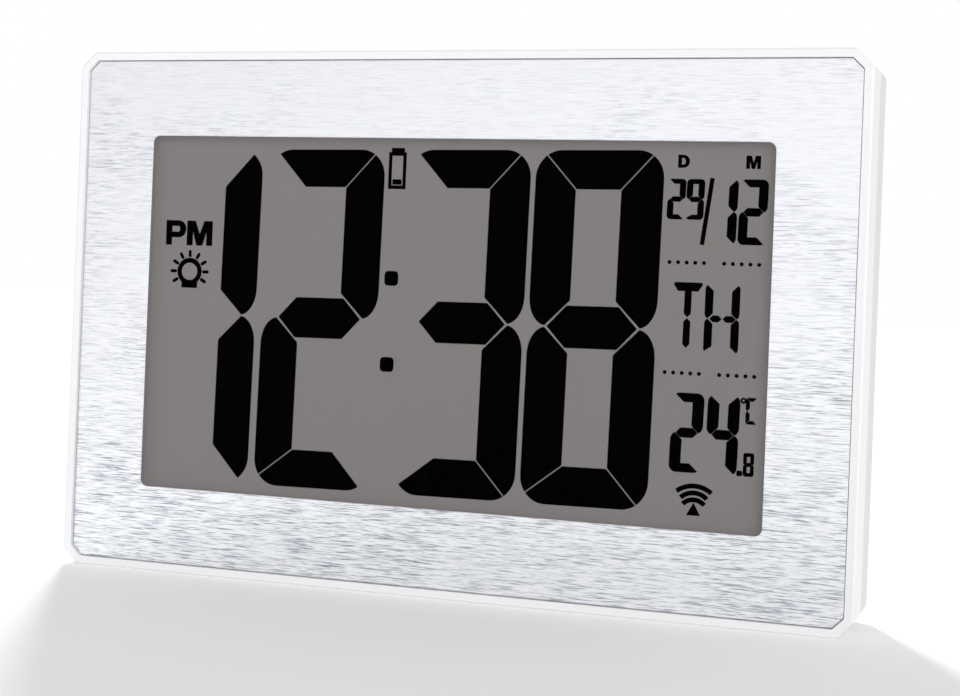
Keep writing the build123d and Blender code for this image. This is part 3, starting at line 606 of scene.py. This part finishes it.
warm_signs = numeral_row({"2": 73.55, "4": 83.04}, warm_cell)
warm_signs += numeral_row({"C": 87.5}, unit_cell) + numeral_row({"8": 87.1}, tenth_cell)
warm_signs += whole_ring(degree_centre, degree_inner, degree_outer)
warm_signs += [rounded_box(point_x, point_z, point_width, point_height, point_corner)]
display_sign("date_signs", date_signs + week_signs + warm_signs)

# Back light
# An acrylic light guide with a white sheet behind it, lit from below by six small lamps
# soldered to a narrow strip of board.
light_guide_acrylic = tinted_glass(
    "light_guide_acrylic", (0.86, 0.88, 0.9), (0.9, 0.92, 0.93), rough=0.08, transmission=0.8
)
dress(light_guide_acrylic, "light_guide")
dress(white_film, "reflector_sheet")
track_height = 3e-5
board_gloss = (0.3, 0.38)


def circuit_board(name, mask_low, mask_high, trace):
    """Green solder mask over copper tracks: the joints of a brick pattern stand for the tracks."""
    made, tree, shader = blank_material(name)
    grain = put_group(tree, grain_group, Cloud=120.0, Fine=4000.0)
    place = tree.nodes.new("ShaderNodeTexCoord")
    turn = tree.nodes.new("ShaderNodeMapping")
    turn.inputs["Rotation"].default_value = (math.radians(90), 0.0, 0.0)
    tracks = tree.nodes.new("ShaderNodeTexBrick")
    for label, value in (("Scale", 300.0), ("Mortar Size", 0.03), ("Mortar Smooth", 0.2)):
        tracks.inputs[label].default_value = value
    for label, shade in (("Color1", 0.0), ("Color2", 0.0), ("Mortar", 1.0)):
        tracks.inputs[label].default_value = (shade, shade, shade, 1.0)
    tree.links.new(place.outputs["Object"], turn.inputs["Vector"])
    tree.links.new(turn.outputs["Vector"], tracks.inputs["Vector"])
    mask = link_colour(tree, grain.outputs["Tone"], mask_low, mask_high, shader.inputs["Base Color"])
    tracked = link_colour(tree, tracks.outputs["Color"], mask_low, trace, shader.inputs["Base Color"])
    tree.links.new(mask.outputs["Result"], tracked.inputs["A"])
    link_bump(tree, tracks.outputs["Color"], track_height, shader.inputs["Normal"])
    link_range(tree, grain.outputs["Tone"], *board_gloss, shader.inputs["Roughness"])
    return made


board_green = circuit_board("board_green", (0.01, 0.075, 0.03), (0.015, 0.095, 0.04), (0.06, 0.2, 0.08))
dress(board_green, "led_strip")
lamp_resin = moulded("lamp_resin", (0.75, 0.68, 0.3), (0.8, 0.74, 0.38), rough=0.3, fine=3000.0, depth=2e-6)
dress(lamp_resin, "backlight_leds")

# Carrier and its screws
# A white moulded tray that clamps the display stack against the front frame with four screws.
# Its saddles hold the receiver's rod, and its posts the main board.
carrier_white = moulded(
    "carrier_white", (0.66, 0.66, 0.65), (0.7, 0.7, 0.69), rough=0.5, fine=1500.0, depth=5e-6
)
dress(carrier_white, "lcd_carrier")
screw_columns, rows_per_turn, edge_rows, dome_rows = 48, 8, 6, 26
point_turns, point_share, thread_share = 1.5, 0.25, 0.2
dome_edge_share, dome_end_share, crown_share, crown_flat_share = 0.86, 0.02, 0.5, 0.1
arm_share, reach_share, soft_share, cross_depth_share, wall_share = 0.16, 0.62, 0.05, 0.55, 0.4


def cross_screws(name, node, head_radius, head_height, shank_radius, turns):
    """Pan-head screws at the four corners of a node's box, each a surface of revolution on a grid
    of rows along the screw and columns round it. The shank's radius swings with a triangle wave of
    the angle plus the row's height over the pitch, which winds a thread. On the head the height
    falls as the fourth power of the radius, less a cross where either arm's width is in reach."""
    low, high = (np.array(corner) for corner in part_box(node))
    seat = high[1] - head_height
    pitch = (seat - low[1]) / turns
    columns = np.linspace(0, 2 * math.pi, screw_columns, endpoint=False)[None, :]
    rise = np.linspace(0, 1, rows_per_turn * turns + 1)[:, None]
    shank_y = low[1] + (seat - low[1]) * rise + 0 * columns
    wave = np.abs(((shank_y - low[1]) / pitch - columns / (2 * math.pi)) % 1.0 - 0.5) * 2
    taper = np.clip(rise * turns / point_turns, point_share, 1.0)
    shank_r = shank_radius * taper * (1 - thread_share + thread_share * wave)
    edge_shares = np.linspace(1.0, dome_edge_share, edge_rows)[:-1]
    dome_shares = np.linspace(dome_edge_share, dome_end_share, dome_rows)
    share = np.concatenate([edge_shares, dome_shares])[:, None]
    fall = np.clip((share - crown_flat_share) / (1 - crown_flat_share), 0, 1) ** 4
    crown = crown_share * head_height * (1 - fall)
    across, up = head_radius * share * np.cos(columns), head_radius * share * np.sin(columns)
    arm_half, arm_reach, soft = (part * head_radius for part in (arm_share, reach_share, soft_share))

    def within(limit, place):
        """One inside a limit on either side and nought past it, with a soft edge."""
        return np.clip((limit - np.abs(place)) / soft + 0.5, 0, 1)

    cross = np.maximum(*(within(arm_half, u) * within(arm_reach, v) for u, v in ((across, up), (up, across))))
    head_y = seat + (1 - crown_share) * head_height + crown - cross_depth_share * head_height * cross
    edge_r = np.full((2, 1), head_radius) + 0 * columns
    edge_y = seat + np.array([[0.0], [wall_share * head_height]]) + 0 * columns
    radius = np.concatenate([shank_r, edge_r, head_radius * share + 0 * columns])
    depth = np.concatenate([shank_y, edge_y, head_y])
    one = np.stack([radius * np.cos(columns), depth, radius * np.sin(columns)], axis=-1)
    centres = [(x, z) for x in (low[0] + head_radius, high[0] - head_radius)
               for z in (low[2] + head_radius, high[2] - head_radius)]
    rows, cols = radius.shape
    grid = np.arange(rows * cols).reshape(rows, cols)
    beside = np.roll(grid, -1, axis=1)
    quads = np.stack([grid[:-1], grid[1:], beside[1:], beside[:-1]], axis=-1).reshape(-1, 4)
    points, faces = [], []
    for index, (x, z) in enumerate(centres):
        points.append((one + np.array((x, 0.0, z))).reshape(-1, 3))
        first = index * rows * cols
        faces += (quads + first).tolist() + [(grid[0] + first).tolist(), (grid[-1][::-1] + first).tolist()]
    mesh = bpy.data.meshes.new(name)
    mesh.from_pydata(np.concatenate(points).tolist(), [], faces)
    mesh.materials.append(bright_steel)
    made = bpy.data.objects.new(name, mesh)
    bpy.context.scene.collection.objects.link(made)
    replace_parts(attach(made, "housing"), node)


bright_steel = drawn_metal(
    "bright_steel", (0.5, 0.5, 0.5), (0.62, 0.62, 0.61), rough=0.3, along=600.0, across=2400.0, depth=4e-6
)
small_head, small_height, small_shank = 2.1 * MM, 1.5 * MM, 0.95 * MM
cross_screws("carrier_cross_screws", "carrier_screws", small_head, small_height, small_shank, turns=9)

# Rubber connector
# A soft bar of black and pale layers in turn, pressed between the display's ledge and the board.
zebra_gloss = (0.6, 0.7)


def banded(name, scale, dark, light):
    """Stripes along X: a sine wave in Object space takes the colour from dark to light."""
    made, tree, shader = blank_material(name)
    place = tree.nodes.new("ShaderNodeTexCoord")
    bands = tree.nodes.new("ShaderNodeTexWave")
    bands.inputs["Scale"].default_value = scale
    tree.links.new(place.outputs["Object"], bands.inputs["Vector"])
    link_colour(tree, bands.outputs["Fac"], dark, light, shader.inputs["Base Color"])
    return made, tree, shader, bands.outputs["Fac"]


zebra_rubber, zebra_tree, zebra_shader, zebra_bands = banded(
    "zebra_rubber", 300.0, (0.02, 0.02, 0.02), (0.5, 0.36, 0.33)
)
link_range(zebra_tree, zebra_bands, *zebra_gloss, zebra_shader.inputs["Roughness"])
dress(zebra_rubber, "zebra_strip")

# Main board and what is soldered to it
# A green board on four posts of the carrier, with the driver chip under a black resin dome,
# a watch crystal, two capacitors, five push switches and the bead that senses the temperature.
dress(board_green, "main_board")
resin_black = moulded(
    "resin_black", (0.012, 0.012, 0.013), (0.02, 0.02, 0.021), rough=0.4, fine=900.0, depth=1e-5
)
dress(resin_black, "driver_chip", "tact_switches", "temperature_sensor")
silver_can = drawn_metal(
    "silver_can", (0.62, 0.62, 0.63), (0.74, 0.74, 0.74), rough=0.25, along=300.0, across=3000.0, depth=3e-6
)
dress(silver_can, "clock_crystal", "filter_capacitors")
cross_screws("board_cross_screws", "board_screws", small_head, small_height, small_shank, turns=6)

# Time-signal receiver
# A ferrite rod wound with enamelled copper in the middle, and a small board with its one chip.
# A flat ribbon takes the signal up to the main board.
ferrite_grey = moulded(
    "ferrite_grey", (0.03, 0.03, 0.032), (0.05, 0.05, 0.052), rough=0.6, fine=1200.0, depth=2e-5
)
dress(ferrite_grey, "ferrite_rod")
wire_relief = 8e-5
copper_turns, copper_tree, copper_shader, copper_bands = banded(
    "copper_turns", 700.0, (0.22, 0.06, 0.02), (0.62, 0.24, 0.1)
)
link_bump(copper_tree, copper_bands, wire_relief, copper_shader.inputs["Normal"])
copper_shader.inputs["Metallic"].default_value = 0.8
copper_shader.inputs["Roughness"].default_value = 0.35
dress(copper_turns, "antenna_coil")
dress(board_green, "receiver_board")
dress(resin_black, "receiver_chip")
lead_rubber = moulded(
    "lead_rubber", (0.015, 0.015, 0.016), (0.025, 0.025, 0.026), rough=0.5, fine=2000.0, depth=4e-6
)
dress(lead_rubber, "receiver_leads")

# Rear cover
# The back half of the case, moulded in the same white plastic with a fine spark-eroded texture.
# It carries the battery bay, the stand's recess, the keyhole, the key holes and the vents.
grained_white = moulded(
    "grained_white", (0.76, 0.76, 0.755), (0.8, 0.8, 0.795), rough=0.55, fine=1500.0, depth=2.5e-5
)
dress(grained_white, "rear_cover")

# Case screws
# Four cross-head screws, sunk in deep seats, that draw the cover onto the front frame.
large_head, large_height, large_shank = 2.7 * MM, 1.9 * MM, 1.3 * MM
cross_screws("case_cross_screws", "case_screws", large_head, large_height, large_shank, turns=9)

# Battery contacts, cells and leads
# Bowed leaves of nickel-plated steel in slots of the bay, two AA cells, and two thin leads to
# the board. A cell is a steel can in a printed sleeve that leaves both ends bare.
dress(bright_steel, "contact_link", "contact_plus", "contact_minus")
dress(lead_rubber, "battery_leads")
sleeve_dark, sleeve_light, can_steel = (0.02, 0.024, 0.03), (0.45, 0.4, 0.3), (0.62, 0.62, 0.62)
sleeve_band, bare_plus, bare_minus = 15 * MM, 1.9 * MM, 0.7 * MM
sleeve_gloss = (0.25, 0.32)


def cell_sleeve(name, node, plus_side):
    """Sleeve in two plain colours along X. The band at the plus end is the lighter one, and the
    can's steel shows past the sleeve. Masks are steps in the X of Object space."""
    low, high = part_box(node)
    made, tree, shader = blank_material(name)
    place = tree.nodes.new("ShaderNodeTexCoord")
    part = tree.nodes.new("ShaderNodeSeparateXYZ")
    tree.links.new(place.outputs["Object"], part.inputs["Vector"])
    plus_end = high.x if plus_side > 0 else low.x
    minus_end = low.x if plus_side > 0 else high.x

    def past(x, towards):
        """One where X lies past a place in a direction, and nought before it."""
        step = tree.nodes.new("ShaderNodeMath")
        step.operation = "GREATER_THAN" if towards > 0 else "LESS_THAN"
        step.inputs[1].default_value = x
        tree.links.new(part.outputs["X"], step.inputs[0])
        return step.outputs["Value"]

    band = past(plus_end - plus_side * sleeve_band, plus_side)
    caps = tree.nodes.new("ShaderNodeMath")
    caps.operation = "MAXIMUM"
    tree.links.new(past(plus_end - plus_side * bare_plus, plus_side), caps.inputs[0])
    tree.links.new(past(minus_end + plus_side * bare_minus, -plus_side), caps.inputs[1])
    sleeve = link_colour(tree, band, sleeve_dark, sleeve_light, shader.inputs["Base Color"])
    whole = link_colour(tree, caps.outputs["Value"], sleeve_dark, can_steel, shader.inputs["Base Color"])
    tree.links.new(sleeve.outputs["Result"], whole.inputs["A"])
    tree.links.new(caps.outputs["Value"], shader.inputs["Metallic"])
    grain = put_group(tree, grain_group, Cloud=200.0, Fine=2500.0)
    link_range(tree, grain.outputs["Tone"], *sleeve_gloss, shader.inputs["Roughness"])
    return made


dress(cell_sleeve("upper_cell_sleeve", "battery_cell_upper", 1), "battery_cell_upper")
dress(cell_sleeve("lower_cell_sleeve", "battery_cell_lower", -1), "battery_cell_lower")

# Battery door
# A flat white lid on two pins at its foot, held shut by a springy latch at its top.
dress(grained_white, "battery_door")

# Fold-out stand
# A ribbed white leg on two pins, which lies flush in its recess and swings out to prop the clock.
dress(grained_white, "stand_leg")

# Keys
# Five round keys in pale grey plastic. Each rests in its hole by a flange and presses its switch.
# Plain signs are printed on them: a ring, an arrow up, an arrow down, a lamp and a wave.
key_plastic = moulded(
    "key_plastic", (0.52, 0.53, 0.54), (0.56, 0.57, 0.58), rough=0.45, fine=1800.0, depth=6e-6
)
mark_grey = moulded("mark_grey", (0.3, 0.3, 0.3), (0.34, 0.34, 0.34), rough=0.5, fine=2500.0, depth=4e-6)
set_inner, set_outer, arrow_size = 1.05, 1.5, 1.7
lamp_radius, beam_start, beam_end, beam_width, beam_angles = 0.75, 1.2, 1.75, 0.35, np.arange(0, 360, 45)
signal_drop, signal_stroke, signal_radii, signal_half = 1.0, 0.4, (1.0, 1.8, 2.6), 45


def triangle(x, z, size):
    """Even triangle about a point, point up, or point down where the size is negative."""
    return np.array((x, z)) + size * aims((210, 330, 90))


def key_sign(key, x, z):
    """Outlines of one key's sign, in millimetres from the middle of the case."""
    centre = np.array((x, z))
    if key == "set":
        return whole_ring(centre, set_inner, set_outer)
    if key in ("up", "down"):
        return [triangle(x, z, arrow_size if key == "up" else -arrow_size)]
    if key == "light":
        beams = ray_bars(centre, beam_start, beam_end, beam_width, beam_angles)
        return [round_dot(centre, lamp_radius)] + beams
    foot, start, end = centre - (0, signal_drop), 90 - signal_half, 90 + signal_half
    return [ring_piece(foot, outer - signal_stroke, outer, start, end) for outer in signal_radii]


def back_sign(name, outlines, face, body):
    """A printed sign on a face at the back."""
    raised_sign(name, outlines, face - ink_root, face + ink_depth, body, mark_grey)


for key in ("set", "up", "down", "light", "receive"):
    dress(key_plastic, f"{key}_button")
    low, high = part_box(f"{key}_button")
    x, z = (low.x + high.x) / 2 / MM, ((low.z + high.z) / 2 - middle_z) / MM
    back_sign(f"{key}_sign", key_sign(key, x, z), high.y, f"{key}_key")

# Floor and light
# A seamless white sheet under and behind the clock, lit by two soft suns in a bright white room.
floor_reach = 6.0
floor_corners = [(x * floor_reach, y * floor_reach, 0) for x, y in ((-1, -1), (1, -1), (1, 1), (-1, 1))]
floor_mesh = bpy.data.meshes.new("floor")
floor_mesh.from_pydata(floor_corners, [], [(0, 1, 2, 3)])
floor = bpy.data.objects.new("floor", floor_mesh)
bpy.context.scene.collection.objects.link(floor)
floor_white, floor_tree, floor_shader = blank_material("floor_white")
floor_grain = put_group(floor_tree, grain_group, Cloud=2.0, Fine=800.0)
floor_low, floor_high = (0.9, 0.9, 0.9), (0.92, 0.92, 0.92)
link_colour(floor_tree, floor_grain.outputs["Tone"], floor_low, floor_high, floor_shader.inputs["Base Color"])
floor_shader.inputs["Roughness"].default_value = 0.9
floor_shader.inputs["Specular IOR Level"].default_value = 0.0


def seen_ray(tree):
    """One for rays that the camera, a gloss or a clear sheet sends out, and nought for the rest."""
    ray = tree.nodes.new("ShaderNodeLightPath")
    found = ray.outputs["Is Camera Ray"]
    for label in ("Is Glossy Ray", "Is Transmission Ray"):
        either = tree.nodes.new("ShaderNodeMath")
        either.operation = "MAXIMUM"
        tree.links.new(found, either.inputs[0])
        tree.links.new(ray.outputs[label], either.inputs[1])
        found = either.outputs["Value"]
    return found


gloss_glow, seen_lift = 0.12, 0.18
floor_gloss = floor_tree.nodes.new("ShaderNodeLightPath")
floor_glow = floor_tree.nodes.new("ShaderNodeMath")
floor_glow.operation = "MULTIPLY"
floor_glow.inputs[1].default_value = gloss_glow
floor_tree.links.new(floor_gloss.outputs["Is Glossy Ray"], floor_glow.inputs[0])
floor_lift = floor_tree.nodes.new("ShaderNodeMath")
floor_lift.operation = "MULTIPLY_ADD"
floor_lift.inputs[1].default_value = seen_lift
floor_tree.links.new(seen_ray(floor_tree), floor_lift.inputs[0])
floor_tree.links.new(floor_glow.outputs["Value"], floor_lift.inputs[2])
floor_tree.links.new(floor_lift.outputs["Value"], floor_shader.inputs["Emission Strength"])
floor_shader.inputs["Emission Color"].default_value = (1.0, 1.0, 1.0, 1.0)
floor_mesh.materials.append(floor_white)

world = bpy.data.worlds.new("white_room")
bpy.context.scene.world = world
world.use_nodes = True
room_tree = world.node_tree
room_light = room_tree.nodes["Background"]
room_light.inputs["Color"].default_value = (0.97, 0.98, 1.0, 1.0)
room_light.inputs["Strength"].default_value = 0.5
room_seen = room_tree.nodes.new("ShaderNodeBackground")
room_seen.inputs["Color"].default_value = (1.0, 1.0, 1.0, 1.0)
room_way = room_tree.nodes.new("ShaderNodeTexCoord")
room_side = room_tree.nodes.new("ShaderNodeSeparateXYZ")
room_tree.links.new(room_way.outputs["Generated"], room_side.inputs["Vector"])
room_fall = room_tree.nodes.new("ShaderNodeMapRange")
for label, value in (("From Min", -0.7), ("From Max", -0.15), ("To Min", 0.78), ("To Max", 1.0)):
    room_fall.inputs[label].default_value = value
room_tree.links.new(room_side.outputs["X"], room_fall.inputs["Value"])
room_ray = room_tree.nodes.new("ShaderNodeLightPath")
room_white = room_tree.nodes.new("ShaderNodeMath")
room_white.operation = "MAXIMUM"
room_tree.links.new(room_ray.outputs["Is Camera Ray"], room_white.inputs[0])
room_tree.links.new(room_fall.outputs["Result"], room_white.inputs[1])
room_tree.links.new(room_white.outputs["Value"], room_seen.inputs["Strength"])
room_mix = room_tree.nodes.new("ShaderNodeMixShader")
room_tree.links.new(seen_ray(room_tree), room_mix.inputs["Fac"])
room_tree.links.new(room_light.outputs["Background"], room_mix.inputs[1])
room_tree.links.new(room_seen.outputs["Background"], room_mix.inputs[2])
room_tree.links.new(room_mix.outputs["Shader"], room_tree.nodes["World Output"].inputs["Surface"])


def soft_sun(name, place, spread, power):
    """Sun that shines from a place towards the origin, with a width in degrees."""
    data = bpy.data.lights.new(name, "SUN")
    data.energy = power
    data.angle = math.radians(spread)
    sun = bpy.data.objects.new(name, data)
    bpy.context.scene.collection.objects.link(sun)
    back = np.array(place) / np.linalg.norm(place)
    right = np.cross((0, 0, 1), back) / np.linalg.norm(np.cross((0, 0, 1), back))
    matrix = np.eye(4)
    matrix[:3, :3] = np.stack([right, np.cross(back, right), back], axis=1)
    matrix[:3, 3] = place
    sun.matrix_world = Matrix(matrix.tolist())
    return sun


soft_sun("window_light", (-0.5, 1.0, 0.95), spread=6.0, power=1.65)
front_light = soft_sun("front_light", (0.8, -1.3, 0.38), spread=40.0, power=1.6)
front_light.visible_glossy = False

# Camera
# It stands to the right of the middle, level with the display, and is held a little turned.
camera_place = np.array((165.36, -466.81, 86.63)) * MM
camera_turn, camera_tilt, camera_roll = np.radians((18.794, -0.141, 2.211))
sideways, ahead = math.sin(camera_turn), math.cos(camera_turn)
back = np.array((sideways * math.cos(camera_tilt), -ahead * math.cos(camera_tilt), math.sin(camera_tilt)))
level = np.array((ahead, sideways, 0.0))
above = np.cross(back, level)
camera_data = bpy.data.cameras.new("camera")
camera_data.sensor_width = 36.0
camera_data.lens = 66.05
camera_data.shift_y = -0.0721
camera_data.clip_start, camera_data.clip_end = 0.01, 50.0
camera = bpy.data.objects.new("camera", camera_data)
bpy.context.scene.collection.objects.link(camera)
camera_matrix = np.eye(4)
camera_matrix[:3, 0] = math.cos(camera_roll) * level + math.sin(camera_roll) * above
camera_matrix[:3, 1] = -math.sin(camera_roll) * level + math.cos(camera_roll) * above
camera_matrix[:3, 2] = back
camera_matrix[:3, 3] = camera_place
camera.matrix_world = Matrix(camera_matrix.tolist())
bpy.context.scene.camera = camera
bpy.context.scene.view_settings.view_transform = "Standard"
